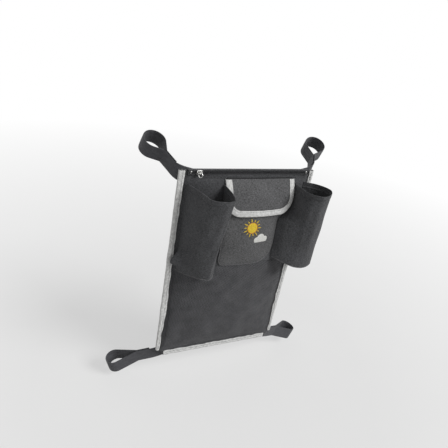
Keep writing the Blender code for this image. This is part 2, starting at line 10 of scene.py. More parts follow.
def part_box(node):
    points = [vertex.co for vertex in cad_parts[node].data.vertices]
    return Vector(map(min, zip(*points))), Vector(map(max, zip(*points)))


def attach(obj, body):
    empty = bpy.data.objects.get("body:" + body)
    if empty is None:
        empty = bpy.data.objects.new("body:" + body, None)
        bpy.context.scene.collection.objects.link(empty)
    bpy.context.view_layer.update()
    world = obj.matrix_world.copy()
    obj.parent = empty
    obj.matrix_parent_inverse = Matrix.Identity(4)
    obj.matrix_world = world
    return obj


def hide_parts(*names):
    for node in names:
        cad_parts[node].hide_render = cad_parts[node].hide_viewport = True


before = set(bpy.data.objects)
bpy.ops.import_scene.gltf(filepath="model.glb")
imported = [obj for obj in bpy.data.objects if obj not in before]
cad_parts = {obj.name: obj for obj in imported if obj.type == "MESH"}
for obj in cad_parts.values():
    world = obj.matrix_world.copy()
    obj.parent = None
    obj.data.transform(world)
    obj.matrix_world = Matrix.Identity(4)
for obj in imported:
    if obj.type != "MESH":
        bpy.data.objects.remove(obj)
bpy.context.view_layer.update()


# Back panel and top facing: one flat piece of charcoal polyester and the strip that closes the top
# edge. The cloth is a plain weave of dark and pale yarns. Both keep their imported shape.
class Wire:
    """A socket of a material's nodes; arithmetic on it adds Math nodes."""

    def __init__(self, finish, socket):
        self.finish = finish
        self.socket = socket

    def maths(self, operation, *values):
        return self.finish.node("Math", {"operation": operation}, dict(enumerate(values)))

    def __add__(self, other):
        return self.maths("ADD", self, other)

    def __radd__(self, other):
        return self.maths("ADD", other, self)

    def __sub__(self, other):
        return self.maths("SUBTRACT", self, other)

    def __rsub__(self, other):
        return self.maths("SUBTRACT", other, self)

    def __mul__(self, other):
        return self.maths("MULTIPLY", self, other)

    def __rmul__(self, other):
        return self.maths("MULTIPLY", other, self)

    def wave(self, pitch):
        """A sine of the value, which repeats once every pitch."""
        return self.maths("SINE", self * (2 * math.pi / pitch))

    def between(self, low, high, start=0.0, end=1.0):
        """The value moved from low..high to start..end, and held at those ends."""
        return self.finish.node("MapRange", {}, {0: self, 1: low, 2: high, 3: start, 4: end})


class Nodes:
    """A node tree, to which nodes are added one at a time."""

    def __init__(self, tree):
        self.tree = tree

    def put(self, socket, value):
        if isinstance(value, Wire):
            self.tree.links.new(value.socket, socket)
        else:
            socket.default_value = value

    def node(self, kind, settings=None, sockets=None, output=0):
        """Any node: its settings first, then the values or links of its sockets."""
        made = self.tree.nodes.new("ShaderNode" + kind)
        for name, value in (settings or {}).items():
            setattr(made, name, value)
        for key, value in (sockets or {}).items():
            self.put(made.inputs[key], value)
        return Wire(self, made.outputs[output])


class Finish(Nodes):
    """A material with one Principled shader, laid by the piece's own map or by its place."""

    def __init__(self, name, roughness, metallic=0.0, sheen=0.0, laid_by="uv"):
        self.material = bpy.data.materials.new(name)
        self.material.use_nodes = True
        super().__init__(self.material.node_tree)
        self.shader = self.tree.nodes["Principled BSDF"]
        self.put(self.shader.inputs["Roughness"], roughness)
        self.put(self.shader.inputs["Metallic"], metallic)
        self.put(self.shader.inputs["Sheen Weight"], sheen)
        self.put(self.shader.inputs["Specular IOR Level"], 0.35)
        if laid_by == "uv":
            self.place = self.node("UVMap")
        else:
            where = self.node("TexCoord", output=3)
            x, y, z = (self.node("SeparateXYZ", sockets={0: where}, output=axis) for axis in range(3))
            self.place = self.node("CombineXYZ", sockets={0: x, 1: z, 2: y})
        self.across, self.along = (
            self.node("SeparateXYZ", sockets={0: self.place}, output=axis) for axis in range(2)
        )

    def noise(self, stretch, detail=2.0):
        """Cloud noise with this many features to the metre along each direction."""
        place = self.node("VectorMath", {"operation": "MULTIPLY"}, {0: self.place, 1: stretch})
        return self.node("TexNoise", {}, {"Vector": place, "Scale": 1.0, "Detail": detail})

    def shade(self, share, low, high):
        """A colour between two, given as linear red, green and blue; 6, 7 and 2 are Mix's colours."""
        return self.node(
            "Mix", {"data_type": "RGBA"}, {0: share, 6: (*low, 1.0), 7: (*high, 1.0)}, 2
        )

    def coat(self, colour, height, depth):
        """Sets the shader's colour, and its bump from a height of 0 to 1 over a depth in metres."""
        bump = self.node("Bump", {}, {"Strength": 1.0, "Distance": depth, "Height": height})
        self.put(self.shader.inputs["Base Color"], colour)
        self.put(self.shader.inputs["Normal"], bump)
        return self


def charcoal_cloth(name, pale, laid_by="uv", creasing=1.0):
    """A 0.55 mm plain weave with melange flecks along both yarns, soft patches and fine crumples."""
    finish = Finish(name, 0.84, sheen=0.08, laid_by=laid_by)
    warp = finish.noise((900.0, 200.0, 200.0), 3.0)
    weft = finish.noise((200.0, 900.0, 200.0), 3.0)
    patches = finish.noise((26.0, 26.0, 26.0), 3.0)
    flecks = (warp * 0.5 + weft * 0.5).between(0.40, 0.60)
    share = flecks * 0.74 + patches.between(0.3, 0.7) * 0.26
    dark = tuple(0.34 * part for part in pale)
    bright = tuple(1.52 * part for part in pale)
    weave = finish.across.wave(0.0011) * finish.along.wave(0.0011) * 0.5 + 0.5
    creases = finish.noise((90.0, 60.0, 60.0), 3.0)
    height = weave * 0.16 + creases * (0.9 * creasing) + flecks * 0.12
    return finish.coat(finish.shade(share, dark, bright), height, 0.0016)


def dress(finish, *nodes):
    """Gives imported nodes, which keep their shape, a finish."""
    for name in nodes:
        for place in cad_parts[name].material_slots:
            place.material = finish.material


CLOTH_COLOUR = (0.062, 0.063, 0.067)
panel_cloth = charcoal_cloth("panel_cloth", CLOTH_COLOUR, laid_by="place")
dress(panel_cloth, "back_panel", "top_facing")


# Front cloth of the main compartment: the same cloth, cut wider than the back so that it bellies
# out, sewn in under the side bindings and the bottle pockets' seams. Its hem runs along the zip.
PANEL_TOP_HALF = 0.1468
PANEL_BOTTOM_HALF = 0.1450
PANEL_HEIGHT = 0.4395
CORNER_CHAMFER = 0.0150
EDGE_INSET = 0.0008
CLOTH = 0.0012
PANEL_STACK = 0.0035
SEAM_FLAT = 0.0160
BULGE = 0.036
BULGE_TOP = 0.4230
BULGE_EASE = 0.02
HEM_DEPTH = 0.0072
NET_CREASE, CLOTH_CREASE = 0.0019, 0.0007
NET_TOP = 0.2440
FRONT_TOP = 0.43055


def smooth_step(value):
    """From 0 to 1 with level ends: three times the square, less twice the cube."""
    value = np.clip(value, 0.0, 1.0)
    return value * value * (3 - 2 * value)


def mix(a, b, share):
    """From a to b: a, and a share of the difference."""
    return a + (b - a) * share


def crumple(a, b, wavelength, seed):
    """Soft creases of about -1 to 1: twelve sines with headings and lengths drawn from a seed."""
    draw = np.random.default_rng(seed)
    total = 0.0
    for _ in range(12):
        heading = draw.uniform(0, 2 * math.pi)
        turns = 2 * math.pi / (wavelength * draw.uniform(0.6, 1.7))
        along = a * math.cos(heading) + b * math.sin(heading)
        total = total + np.sin(along * turns + draw.uniform(0, 6.3))
    return total / 4.2


def panel_half(z):
    """Half width at a height: a straight taper, with the lower corners cut off at 45 degrees."""
    return mix(PANEL_BOTTOM_HALF, PANEL_TOP_HALF, z / PANEL_HEIGHT) - np.maximum(CORNER_CHAMFER - z, 0.0)


def front_depth(x, z):
    """How far the front stands from the back: a dome to the power 0.7 across and 0.55 up, with creases."""
    reach = np.minimum(np.abs(x) / (panel_half(np.maximum(z, CORNER_CHAMFER)) - SEAM_FLAT), 1.0)
    height = np.clip((z - SEAM_FLAT) / (BULGE_TOP - SEAM_FLAT), 0.0, 1.0)
    round_x = (1 - reach * reach) ** 0.70
    round_z = (4 * height * (1 - height) + BULGE_EASE) ** 0.55 - BULGE_EASE**0.55
    hem = (HEM_DEPTH - PANEL_STACK) * smooth_step((z - BULGE_TOP) / 0.060 + 1)
    slack = mix(NET_CREASE, CLOTH_CREASE, smooth_step((z - 0.19) / 0.06))
    creases = slack * crumple(x, z, 0.075, 4) * np.minimum(round_x * 2, 1.0) * np.minimum(round_z * 2, 1.0)
    return PANEL_STACK + round_x * (BULGE * round_z + hem) + creases * (1 - smooth_step((z - 0.385) / 0.03))


def across_panel(z, columns):
    """x on each row: closer together towards the side seams, with a flat strip under each binding."""
    half = panel_half(z)[:, None]
    x = np.sin(np.linspace(-0.5, 0.5, columns) * math.pi) * (half - SEAM_FLAT)
    return np.concatenate([EDGE_INSET - half, x, half - EDGE_INSET], 1)


def spread(points):
    """Own map of a grid in metres: the distance run along its rows and up its columns."""
    across = np.linalg.norm(np.diff(points, axis=1), axis=2)
    up = np.linalg.norm(np.diff(points, axis=0), axis=2)
    u = np.pad(np.cumsum(across, 1), ((0, 0), (1, 0)))
    u = u - u[:, -1:] / 2
    v = np.pad(np.cumsum(up.mean(1)), (1, 0))
    return np.stack([u, np.broadcast_to(v[:, None], u.shape)], -1)


def sewn_mesh(name, points, finish, uv=None, round_u=False, round_v=False):
    """Quads over one grid of points, or several: (piece), row, column, xyz.

    The outer side is columns x rows. A grid that is round one way only has its ends closed."""
    points = points if points.ndim == 4 else points[None]
    count, rows, columns = points.shape[:3]
    uv = spread(points[0]) if uv is None else uv
    index = np.arange(count * rows * columns).reshape(count, rows, columns)
    flat_uv = np.broadcast_to(uv[None], (count, rows, columns, 2))
    if round_u:
        index = np.concatenate([index, index[:, :, :1]], 2)
        flat_uv = np.concatenate([flat_uv, 2 * flat_uv[:, :, -1:] - flat_uv[:, :, -2:-1]], 2)
    if round_v:
        index = np.concatenate([index, index[:, :1]], 1)
        flat_uv = np.concatenate([flat_uv, 2 * flat_uv[:, -1:] - flat_uv[:, -2:-1]], 1)

    def corners(grid):
        return np.stack([grid[:, :-1, :-1], grid[:, :-1, 1:], grid[:, 1:, 1:], grid[:, 1:, :-1]], 3)

    faces = corners(index).reshape(-1, 4).tolist()
    loops = corners(flat_uv).reshape(-1, 2)
    if round_u and not round_v:
        faces += index[:, 0, -2::-1].tolist() + index[:, -1, :-1].tolist()
        ends = np.concatenate([flat_uv[:, 0, -2::-1].reshape(-1, 2), flat_uv[:, -1, :-1].reshape(-1, 2)])
        loops = np.concatenate([loops, ends])
    mesh = bpy.data.meshes.new(name)
    mesh.from_pydata(points.reshape(-1, 3).tolist(), [], faces)
    mesh.uv_layers.new(name="laid").data.foreach_set("uv", loops.ravel())
    mesh.shade_smooth()
    mesh.materials.append(finish.material)
    obj = bpy.data.objects.new(name, mesh)
    bpy.context.scene.collection.objects.link(obj)
    return obj


def thicken(obj, thickness, offset):
    """Gives an open surface its cloth's thickness: offset 1 outwards, -1 inwards."""
    solidify = obj.modifiers.new("thickness", "SOLIDIFY")
    solidify.thickness = thickness
    solidify.offset = offset
    return obj


def fasten(obj, slot, *nodes, body="bag"):
    """Rides a piece on a body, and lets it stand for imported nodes."""
    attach(obj, body)
    if nodes:
        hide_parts(*nodes)
    return obj


front_cloth = charcoal_cloth("front_cloth", CLOTH_COLOUR)
z = mix(NET_TOP + 0.0003, BULGE_TOP, np.sin(np.linspace(0, 0.5, 90) * math.pi))
z = np.append(z, np.linspace(BULGE_TOP, FRONT_TOP, 8)[1:])
x = across_panel(z, 130)
z = np.broadcast_to(z[:, None], x.shape)
points = np.stack([x, -front_depth(x, z), z], -1)
front = thicken(sewn_mesh("front_cloth", points, front_cloth), CLOTH, -1)
fasten(front, "cloth", "front_panel")


# Net: a soft black warp-knitted mesh with six-sided holes, sewn to the front cloth above and under
# the bindings at the sides and the bottom, where it makes the see-through lower compartment.
def net_finish():
    """Holes are the tops of three crossed waves; the yarns between them are round and slightly shiny."""
    finish = Finish("knitted_net", 0.72, sheen=0.1)
    step = 0.0033
    rise = math.sqrt(3) / 2
    first = finish.across.wave(step)
    second = (finish.along * rise - finish.across * 0.5).wave(step)
    third = (0.0 - finish.across * 0.5 - finish.along * rise).wave(step)
    field = first + second + third
    patches = finish.noise((40.0, 40.0, 40.0), 3.0).between(0.3, 0.7)
    yarn = field.between(-1.0, 1.2, 1.0, 0.0)
    colour = finish.shade(yarn * 0.6 + patches * 0.4, (0.020, 0.020, 0.023), (0.118, 0.118, 0.125))
    finish.put(finish.shader.inputs["Alpha"], field.between(0.05, 0.45, 1.0, 0.0))
    return finish.coat(colour, yarn, 0.0005)


z = mix(SEAM_FLAT, NET_TOP, 1 - np.cos(np.linspace(0, 0.5, 90) * math.pi))
z = np.concatenate([np.linspace(EDGE_INSET, SEAM_FLAT, 6)[:-1], z])
x = across_panel(z, 130)
z = np.broadcast_to(z[:, None], x.shape)
points = np.stack([x, -front_depth(x, z), z], -1)
net = thicken(sewn_mesh("net", points, net_finish()), 0.0006, -1)
fasten(net, "net", "mesh_panel")


# Silver binding: light grey polyester tape folded over the bag's side and bottom edges and sewn
# through with one row of stitches, which pulls a groove and small puckers into it.
BINDING_WIDTH = 0.0140
BINDING_THICKNESS = 0.0010
BINDING_START = 0.0165
BINDING_HEIGHTS = (0.0, 0.040, 0.075, 0.110, 0.200, 0.250, 0.330, 0.440)
BINDING_LEGS = (0.0055, 0.0064, 0.0080, 0.0096, 0.0098, 0.0088, 0.0088, 0.0100)
BOTTOM_LEG = 0.0112
STITCH_LINE = 0.60
TAPE_PUFF = 0.0008
SIDES = (("left", -1), ("right", 1))


def silver_finish(name):
    """Fine ribs across the tape, pale blotches, and a soft gloss on the crumpled yarns."""
    finish = Finish(name, 0.50, sheen=0.15)
    blotches = finish.noise((260.0, 150.0, 150.0), 2.0).between(0.32, 0.68)
    ribs = finish.along.wave(0.0013) * 0.5 + 0.5
    yarn = finish.across.wave(0.0009) * 0.5 + 0.5
    share = blotches * 0.6 + ribs * 0.25 + yarn * 0.15
    puckers = finish.noise((70.0, 190.0, 70.0), 2.0)
    return finish.coat(
        finish.shade(share, (0.44, 0.44, 0.435), (0.84, 0.84, 0.825)),
        ribs * 0.2 + yarn * 0.15 + puckers * 0.9,
        0.0011,
    )


silver_tape = silver_finish("silver_tape")


def front_leg(z):
    """Width of a side binding's front leg at a height: straight lines between the given heights."""
    return np.interp(z, BINDING_HEIGHTS, BINDING_LEGS)


def bell(value, middle, width):
    """A rounded bump of height 1: e to the power of minus the squared distance in widths."""
    return np.exp(-(((value - middle) / width) ** 2))


def folded_tape(along, width, seed):
    """Inward distance and y of a tape folded over an edge, from its rear leg to its front leg.

    The fold is half an oval. The legs puff up by 0.8 mm on each side of the stitch groove, and the
    tape's edges and fold waver by about half a millimetre. The front leg's width may change along it."""
    stand_off = 0.00045 + BINDING_THICKNESS / 2
    leg = np.linspace(1, 0, 14)
    turn = np.linspace(-0.5, 0.5, 11)[1:-1] * math.pi
    width = np.broadcast_to(width, along.shape)[:, None]
    share = np.concatenate([leg, 0 * turn, leg[::-1]])
    rear = np.concatenate([np.full(14, 1.0), 0 * turn, np.zeros(14)])
    inward = share * mix(width, BINDING_WIDTH, rear)
    inward = inward - np.concatenate([0 * leg, np.cos(turn) * stand_off, 0 * leg])
    face = np.concatenate([np.full(14, -1.0), np.sin(turn), np.full(14, 1.0)])
    puff = TAPE_PUFF * np.sin(share * math.pi) ** 0.6 - TAPE_PUFF * bell(share, STITCH_LINE, 0.12)
    shape = np.broadcast_to(along[:, None], inward.shape)
    ripple = crumple(shape, inward * 2, 0.012, seed)
    waver = crumple(shape, 0.0, 0.026, seed + 1)
    depth = puff * np.abs(face) * (1 + 0.8 * ripple)
    inward = inward + waver * np.where(share > 0.05, 0.0009 * share, -0.0003 * (1 + waver))
    middle = -PANEL_STACK / 2
    return inward, middle - face * (PANEL_STACK / 2 + stand_off + depth)


z = np.linspace(BINDING_START, PANEL_HEIGHT - 0.0005, 300)
for name, side in SIDES:
    inward, y = folded_tape(z, front_leg(z), 20 + side)
    x = side * (panel_half(z)[:, None] - inward)
    points = np.stack([x, y, np.broadcast_to(z[:, None], y.shape)], -1)
    uv = np.stack([np.broadcast_to(spread(points)[:, :, 0], y.shape), points[:, :, 2]], -1)
    if side > 0:
        points, uv = points[:, ::-1], uv[:, ::-1]
    tape = sewn_mesh(name + "_binding_tape", points, silver_tape, uv)
    fasten(thicken(tape, BINDING_THICKNESS * 0.8, 0), "silver_binding", name + "_binding")

x = np.linspace(-1, 1, 180) * (PANEL_BOTTOM_HALF - BINDING_START)
inward, y = folded_tape(x, BOTTOM_LEG, 31)
points = np.stack([np.broadcast_to(x[:, None], y.shape), y, inward], -1)
uv = np.stack([spread(points)[:, :, 0], points[:, :, 0]], -1)[:, ::-1]
tape = sewn_mesh("bottom_binding_tape", points[:, ::-1], silver_tape, uv)
fasten(thicken(tape, BINDING_THICKNESS * 0.8, 0), "silver_binding", "bottom_binding")


# Stitching of the bindings: one row of lockstitches in grey polyester thread, seen on both faces.
# Each stitch dips into the tape at its ends.
STITCH_LENGTH = 0.0028
STITCH_GAP = 0.0011
BINDING_FACES = (("front", -0.00520, -1.0), ("rear", 0.00170, 1.0))


def thread_finish(name, low, high):
    """Twisted yarn: slanting ridges in the colour and the bump."""
    finish = Finish(name, 0.55, sheen=0.2)
    twist = (finish.across + finish.along * 1.4).wave(0.0005) * 0.5 + 0.5
    return finish.coat(finish.shade(twist, low, high), twist, 0.00012)


def unit(vectors):
    """Vectors divided by their lengths."""
    return vectors / np.maximum(np.linalg.norm(vectors, axis=-1, keepdims=True), 1e-12)


def signed_power(value, power):
    """A value to a power, with its sign kept: below 1 it squares off a circle."""
    return np.sign(value) * np.abs(value) ** power


def tube(path, wide, thick, side, sides=8, closed=False, square=1.0):
    """An oval carried along a path, with its wide axis kept to a direction; rows run along the path.

    The oval is a cosine and a sine, each to the power `square`."""
    ahead = np.roll(path, -1, -2) - np.roll(path, 1, -2) if closed else np.gradient(path, axis=-2)
    ahead = unit(ahead)
    side = np.broadcast_to(side, path.shape)
    level = unit(side - ahead * (side * ahead).sum(-1, keepdims=True))
    face = np.cross(ahead, level)
    angle = np.arange(sides) / sides * 2 * math.pi
    c = signed_power(np.cos(angle), square)[:, None]
    s = signed_power(np.sin(angle), square)[:, None]
    wide = np.broadcast_to(wide, path.shape[:-1])[..., None, None]
    thick = np.broadcast_to(thick, path.shape[:-1])[..., None, None]
    return path[..., None, :] + level[..., None, :] * wide * c + face[..., None, :] * thick * s


def travelled(path):
    """Distance run along a path up to each of its points."""
    return np.concatenate([[0.0], np.cumsum(np.linalg.norm(np.diff(path, axis=0), axis=1))])


def read_off(at, run, values):
    """Points or directions at distances along a path, on straight lines between its own."""
    return np.stack([np.interp(at, run, values[:, axis]) for axis in range(3)], -1)


def stitch_row(name, path, facing, finish):
    """Stitches along a path: each is a short tube that arches out of the cloth and dips in at its ends."""
    run = travelled(path)
    starts = np.arange(STITCH_GAP, run[-1] - STITCH_LENGTH, STITCH_LENGTH + STITCH_GAP)
    share = np.linspace(0, 1, 5)
    at = starts[:, None] + share * STITCH_LENGTH
    out = read_off(at, run, np.broadcast_to(facing, path.shape))
    arch = 0.00030 * np.sin(share * math.pi) - 0.00012
    centre = read_off(at, run, path) + unit(out) * arch[:, None]
    rings = tube(centre, 0.00030, 0.00026, out, sides=6)
    return fasten(sewn_mesh(name, rings, finish, round_u=True), "webbing")


grey_thread = thread_finish("grey_thread", (0.16, 0.16, 0.165), (0.34, 0.34, 0.34))
z = np.linspace(BINDING_START + 0.004, PANEL_HEIGHT - 0.003, 200)
for side_name, side in SIDES:
    for face_name, y, out in BINDING_FACES:
        leg = front_leg(z) if out < 0 else BINDING_WIDTH
        seam = side * (panel_half(z) - STITCH_LINE * leg)
        path = np.stack([seam, np.full(z.shape, y), z], -1)
        stitch_row(f"{side_name}_binding_stitches_{face_name}", path, (0.0, out, 0.0), grey_thread)
end = PANEL_BOTTOM_HALF - BINDING_START
line = np.linspace(0.004 - end, end - 0.004, 160)
for (face_name, y, out), seam_z in zip(BINDING_FACES, (0.0067, 0.0084)):
    path = np.stack([line, np.full(line.shape, y), np.full(line.shape, seam_z)], -1)
    stitch_row("bottom_binding_stitches_" + face_name, path, (0.0, out, 0.0), grey_thread)


# Zip: two woven tapes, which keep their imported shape, with a nylon coil sewn along each, metal end
# stops, and a nickel slider with a wire pull. The coils are drawn closed from end to end.
ZIP_Z = 0.4365
ZIP_HALF = 0.1310
TAPE_FRONT = -0.0066
COIL_GAP = 0.0013
COIL_WIDTH = 0.0020
COIL_HEIGHT = 0.0011
COIL_WIRE = 0.00030
COIL_PITCH = 0.0015

tape_weave = Finish("zip_tape_weave", 0.85, sheen=0.1, laid_by="place")
cords = tape_weave.along.wave(0.0009) * 0.5 + 0.5
picks = tape_weave.across.wave(0.0008) * 0.5 + 0.5
tape_weave.coat(
    tape_weave.shade(cords * 0.5 + picks * 0.5, (0.028, 0.028, 0.031), (0.060, 0.060, 0.064)),
    cords * 0.6 + picks * 0.4,
    0.0003,
)
dress(tape_weave, "zip_tape_upper", "zip_tape_lower")

nylon = Finish("coil_nylon", 0.42, laid_by="place")
cloudy = nylon.noise((300.0, 300.0, 300.0))
nylon.coat(nylon.shade(cloudy, (0.022, 0.022, 0.025), (0.050, 0.050, 0.054)), cloudy, 0.0001)

reach = ZIP_HALF - 0.0070
turns = int(2 * reach / COIL_PITCH)
share = np.linspace(0, 1, turns * 12 + 1)
for name, side in (("upper", 1), ("lower", -1)):
    angle = share * turns * 2 * math.pi * side
    path = np.stack(
        [
            (2 * share - 1) * (reach - COIL_WIRE),
            TAPE_FRONT - 0.0003 - COIL_HEIGHT / 2 + (COIL_HEIGHT / 2 - COIL_WIRE) * np.cos(angle),
            ZIP_Z + side * (COIL_GAP + COIL_WIDTH) / 2 + (COIL_WIDTH / 2 - COIL_WIRE) * np.sin(angle),
        ],
        -1,
    )
    rings = tube(path, COIL_WIRE, COIL_WIRE, (1.0, 0.0, 0.0), 5)
    fasten(sewn_mesh("coil_" + name, rings, nylon, round_u=True), "zip_coil", "zip_coil_" + name)

nickel = Finish("nickel", 0.26, metallic=1.0, laid_by="place")
scuffs = nickel.noise((900.0, 900.0, 900.0), 4.0).between(0.35, 0.7)
nickel.put(nickel.shader.inputs["Roughness"], scuffs.between(0.0, 1.0, 0.20, 0.42))
nickel.coat(nickel.shade(scuffs, (0.70, 0.70, 0.68), (0.50, 0.50, 0.49)), scuffs, 0.00004)


def soft_block(low, high, square=0.32, taper=0.0):
    """A block with rounded edges: a globe whose three parts are each raised to a power below one.

    taper narrows it in z towards low x."""
    low, high = np.array(low), np.array(high)
    lean = np.linspace(-0.5, 0.5, 18)[1:-1, None] * math.pi
    turn = np.arange(28)[None] / 28 * 2 * math.pi
    parts = [np.cos(lean) * np.cos(turn), np.cos(lean) * np.sin(turn), np.sin(lean) + 0 * turn]
    ball = np.stack([signed_power(part, square) for part in parts], -1)
    ball[..., 2] *= 1 - taper * (1 - ball[..., 0]) / 2
    return (low + high) / 2 + ball * (high - low) / 2


for name, _ in SIDES:
    low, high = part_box("zip_stop_" + name)
    stop = sewn_mesh("end_stop_" + name, soft_block(low, high), nickel, round_u=True)
    fasten(stop, "nickel", "zip_stop_" + name)

SLIDER_X = -0.1100
front_low, front_high, rear_low = -0.0083, -0.0094, -0.0057
# The slider's front plate, rear plate, the post between them, and its lower and upper lip.
plates = [
    soft_block((-0.0055, front_high, -0.0044), (0.0055, front_low, 0.0044), 0.30, 0.28),
    soft_block((-0.0055, rear_low, -0.0029), (0.0045, rear_low + 0.0011, 0.0029), 0.30, 0.2),
    soft_block((-0.0045, front_low - 0.0004, -0.00035), (-0.001, rear_low + 0.0004, 0.00035)),
    soft_block((-0.0050, front_low - 0.0004, -0.0043), (0.0050, TAPE_FRONT - 0.0003, -0.00305)),
    soft_block((-0.0050, front_low - 0.0004, 0.00305), (0.0050, TAPE_FRONT - 0.0003, 0.0043)),
]
slider = sewn_mesh("slider_body", np.stack(plates) + (SLIDER_X, 0.0, ZIP_Z), nickel, round_u=True)
fasten(slider, "nickel", "zip_slider", body="slider")
arch = np.linspace(0, 1, 25) * math.pi
path = np.stack(
    [
        SLIDER_X + 0.0042 * signed_power(np.cos(arch), 0.5),
        front_high + 0.0004 - 0.0046 * np.sin(arch) ** 0.5,
        np.full(arch.shape, ZIP_Z),
    ],
    -1,
)
rings = tube(path, 0.0006, 0.0006, (0.0, 0.0, 1.0), 10)
fasten(sewn_mesh("slider_bail", rings, nickel, round_u=True), "nickel", body="slider")

# The pull hangs from its bar at 14 degrees from upright, turned 55 degrees to show its ring.
PULL_WIRE = 0.0007
PULL_BAR = (SLIDER_X, -0.0136, ZIP_Z)
down = np.array([0.0, -math.sin(math.radians(14)), -math.cos(math.radians(14))])
out = np.array([math.cos(math.radians(55)), -math.sin(math.radians(55)), 0.0])
out = unit(out - down * (out @ down))
top, wide, neck = -0.0016, 0.0043, 0.0021
round_start = 0.0104 + top - 2 * PULL_WIRE - wide
shoulder = mix(neck, wide, 0.6)
bend = np.linspace(0, 1, 25) * math.pi
ring_across = np.concatenate(
    [[-neck * 0.8, 0.0, neck * 0.8, neck, shoulder], wide * np.cos(bend), [-shoulder, -neck]]
)
ring_down = np.concatenate(
    [
        [top, top, top, top + 0.0008, round_start * 0.35],
        round_start + wide * np.sin(bend),
        [round_start * 0.35, top + 0.0008],
    ]
)
path = np.array(PULL_BAR) + out * ring_across[:, None] + down * ring_down[:, None]
rings = tube(path, PULL_WIRE, PULL_WIRE, np.cross(down, out), 10, closed=True)
fasten(sewn_mesh("wire_pull", rings, nickel, round_u=True, round_v=True), "nickel", "zip_pull", body="pull")


# Centre pocket: a rounded patch of the same cloth with a little slack, turned under at its edge,
# topstitched to the front cloth, and corded along the turned edge. Its colour is painted lighter
# than the front cloth's as painted light, and the cording's paler cloth is a painted highlight.
CENTRE_X = 0.0095
CENTRE_HALF = 0.0615
CENTRE_BOTTOM = 0.2460
CENTRE_RIM = 0.3900
CENTRE_LEFT_CORNER = 0.0140
CENTRE_RIGHT_CORNER = 0.0400
CENTRE_BULGE = 0.0070
CENTRE_SEAM = 0.0006


def rounded_half(z, bottom, half, corner):
    """Half width at a height of an outline whose lower corners are quarter circles."""
    below = np.clip(corner - (z - bottom), 0.0, corner)
    return half - corner + np.sqrt(corner * corner - below * below)


def pocket_sides(z, inset=0.0):
    """x of the centre pocket's left and right edge at a height; its left corner is the tighter one."""
    bottom, half = CENTRE_BOTTOM + inset, CENTRE_HALF - inset
    left = rounded_half(z, bottom, half, CENTRE_LEFT_CORNER - inset)
    right = rounded_half(z, bottom, half, CENTRE_RIGHT_CORNER - inset)
    return CENTRE_X - left, CENTRE_X + right


def pocket_depth(x, z):
    """The centre pocket's inner face: the front cloth's depth, a seam gap, and a low dome."""
    left, right = pocket_sides(z)
    half = np.where(x < CENTRE_X, CENTRE_X - left, right - CENTRE_X)
    reach = np.minimum(np.abs(x - CENTRE_X) / half, 1.0)
    swell = CENTRE_BULGE * (1 - reach * reach) ** 0.6 * smooth_step((z - CENTRE_BOTTOM) / 0.045)
    return front_depth(x, z) + CENTRE_SEAM + swell * (1 + 0.08 * crumple(x, z, 0.05, 9))


# The same cloth with its colour painted lighter: painted light on the centre pocket.
lit_pocket_cloth = charcoal_cloth("lit_pocket_cloth", (0.096, 0.096, 0.098))
z = mix(CENTRE_BOTTOM, CENTRE_RIM, 1 - np.cos(np.linspace(0, 0.5, 90) * math.pi))[:, None]
left, right = pocket_sides(z)
x = mix(left, right, np.sin(np.linspace(-0.5, 0.5, 110) * math.pi) / 2 + 0.5)
z = np.broadcast_to(z, x.shape)
points = np.stack([x, -pocket_depth(x, z), z], -1)
pocket = thicken(sewn_mesh("centre_pocket_cloth", points, lit_pocket_cloth), CLOTH, 1)
fasten(pocket, "cloth", "centre_pocket")


def pocket_edge(inset, stand_off):
    """A path round the centre pocket, down its left side, along the bottom and up its right side."""
    bottom = CENTRE_BOTTOM + inset
    z = mix(bottom, CENTRE_RIM, 1 - np.cos(np.linspace(0, 0.5, 120) * math.pi))
    left, right = pocket_sides(z, inset)
    level = np.linspace(left[0], right[0], 60)[1:-1]
    x = np.concatenate([left[::-1], level, right])
    z = np.concatenate([z[::-1], np.full(level.shape, bottom), z])
    return np.stack([x, -(pocket_depth(x, z) + stand_off), z], -1)


# Paler cloth for the cordings: a painted highlight along the pockets' turned edges and feet.
highlight_edge_cloth = charcoal_cloth("highlight_edge_cloth", (0.135, 0.135, 0.138))
dark_thread = thread_finish("dark_thread", (0.030, 0.030, 0.033), (0.075, 0.075, 0.078))
rings = tube(pocket_edge(0.0004, CLOTH * 0.75), 0.00085, 0.00085, (0.0, 1.0, 0.0), 8)
fasten(sewn_mesh("centre_pocket_cording", rings, highlight_edge_cloth, round_u=True), "cloth")
path = pocket_edge(0.0040, CLOTH + 0.0002)
stitch_row("centre_pocket_stitches", path, (0.0, -1.0, 0.0), dark_thread)


# Embroidery on the centre pocket: a plain yellow sun and a small white cloud in satin stitch, which
# stand about a millimetre proud of the cloth. Each patch has its stitches laid one way.
SUN_X, SUN_Z, SUN_RADIUS = 0.0080, 0.3310, 0.0112
CLOUD_X, CLOUD_Z = 0.0320, 0.3050
CLOUD_CIRCLES = ((-0.0098, -0.0012, 0.0068), (-0.0006, 0.0026, 0.0095), (0.0098, -0.0010, 0.0072))
RAYS = 14
LONG_RAY, SHORT_RAY = 0.0068, 0.0044


def satin_finish(name, low, high, slant):
    """Parallel silk threads 0.45 mm apart, each a ridge with its own shade."""
    finish = Finish(name, 0.38, sheen=0.25, laid_by="place")
    cross = finish.across * math.cos(slant) + finish.along * math.sin(slant)
    ridges = cross.wave(0.0009) * 0.5 + 0.5
    strands = finish.noise((700.0, 700.0, 700.0), 2.0).between(0.35, 0.65)
    return finish.coat(finish.shade(ridges * 0.55 + strands * 0.45, low, high), ridges, 0.0003)


yellow_silk = satin_finish("yellow_silk", (0.62, 0.38, 0.010), (0.92, 0.70, 0.045), 0.6)
orange_silk = satin_finish("orange_silk", (0.55, 0.21, 0.008), (0.80, 0.36, 0.020), 2.2)
white_silk = satin_finish("white_silk", (0.52, 0.52, 0.49), (0.86, 0.86, 0.82), 1.2)


AROUND = np.linspace(0, 2 * math.pi, 97)[:-1]


